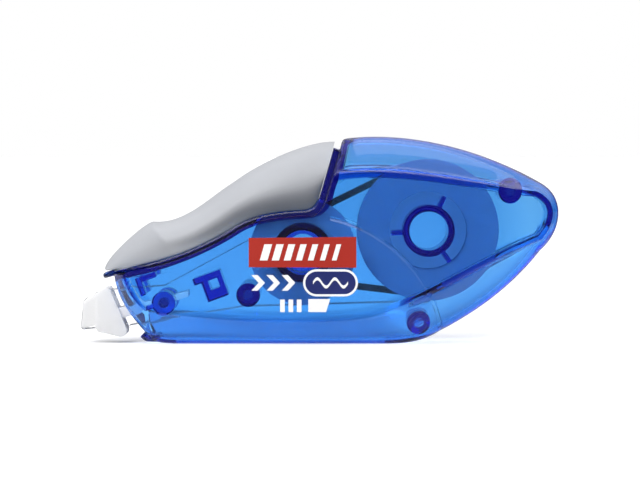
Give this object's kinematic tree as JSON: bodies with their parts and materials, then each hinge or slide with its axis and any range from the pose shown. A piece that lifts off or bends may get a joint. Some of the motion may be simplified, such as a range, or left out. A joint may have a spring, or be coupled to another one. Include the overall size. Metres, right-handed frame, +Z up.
{
  "type": "correction tape roller",
  "caption": "Hand-held correction tape roller: translucent blue two-half case, grey soft grip, sprung white applicator tip, belt-coupled supply and take-up spools.",
  "frame": {"origin": "centre of the overall box in plan, at the height of the flat base", "axes": "+X from the applicator tip to the rear nose, +Y to the far (right) side, +Z up"},
  "size_m": [0.0928, 0.0172, 0.04],
  "materials": {
    "shell_blue": "gloss",
    "grip_grey": "matte",
    "insert_grey": "matte",
    "spool_plastic": "satin",
    "tape_white": "matte",
    "liner_paper": "satin",
    "rubber_black": "matte",
    "tip_white": "satin",
    "print_red": "satin",
    "print_white": "satin",
    "print_navy": "satin"
  },
  "bodies": {
    "case": {"left_shell": "shell_blue", "right_shell": "shell_blue", "grip_skin": "grip_grey", "grip_insert": "insert_grey", "drive_belt": "rubber_black", "tape_feed_run": "tape_white", "tape_return_run": "liner_paper", "red_print": "print_red", "white_print": "print_white", "navy_print": "print_navy", "badge_print": "print_white"},
    "supply_spool": {"supply_core": "spool_plastic", "tape_roll": "tape_white", "slip_ring": "rubber_black", "supply_pulley": "spool_plastic"},
    "take_up": {"take_up_spool": "spool_plastic", "take_up_pulley": "spool_plastic", "liner_roll": "liner_paper"},
    "tip": {"applicator_tip": "tip_white", "tape_tip_loop": "tape_white"}
  },
  "joints": [
    {"name": "supply_spin", "type": "hinge", "parent": "case", "child": "supply_spool", "pos_m": [0.0208, 0, 0.022], "axis": [0, 1, 0], "continuous": true},
    {"name": "take_up_spin", "type": "hinge", "parent": "case", "child": "take_up", "pos_m": [-0.0034, 0, 0.01785], "axis": [0, 1, 0], "continuous": true},
    {"name": "tip_flex", "type": "hinge", "parent": "case", "child": "tip", "pos_m": [-0.0301, 0, 0.0081], "axis": [0, 1, 0], "range_deg": [-2, 3], "stiffness_Nm_per_rad": 0.2}
  ],
  "couplings": [
    {"joint": "take_up_spin", "follows": "supply_spin", "ratio": 2.2069}
  ]
}
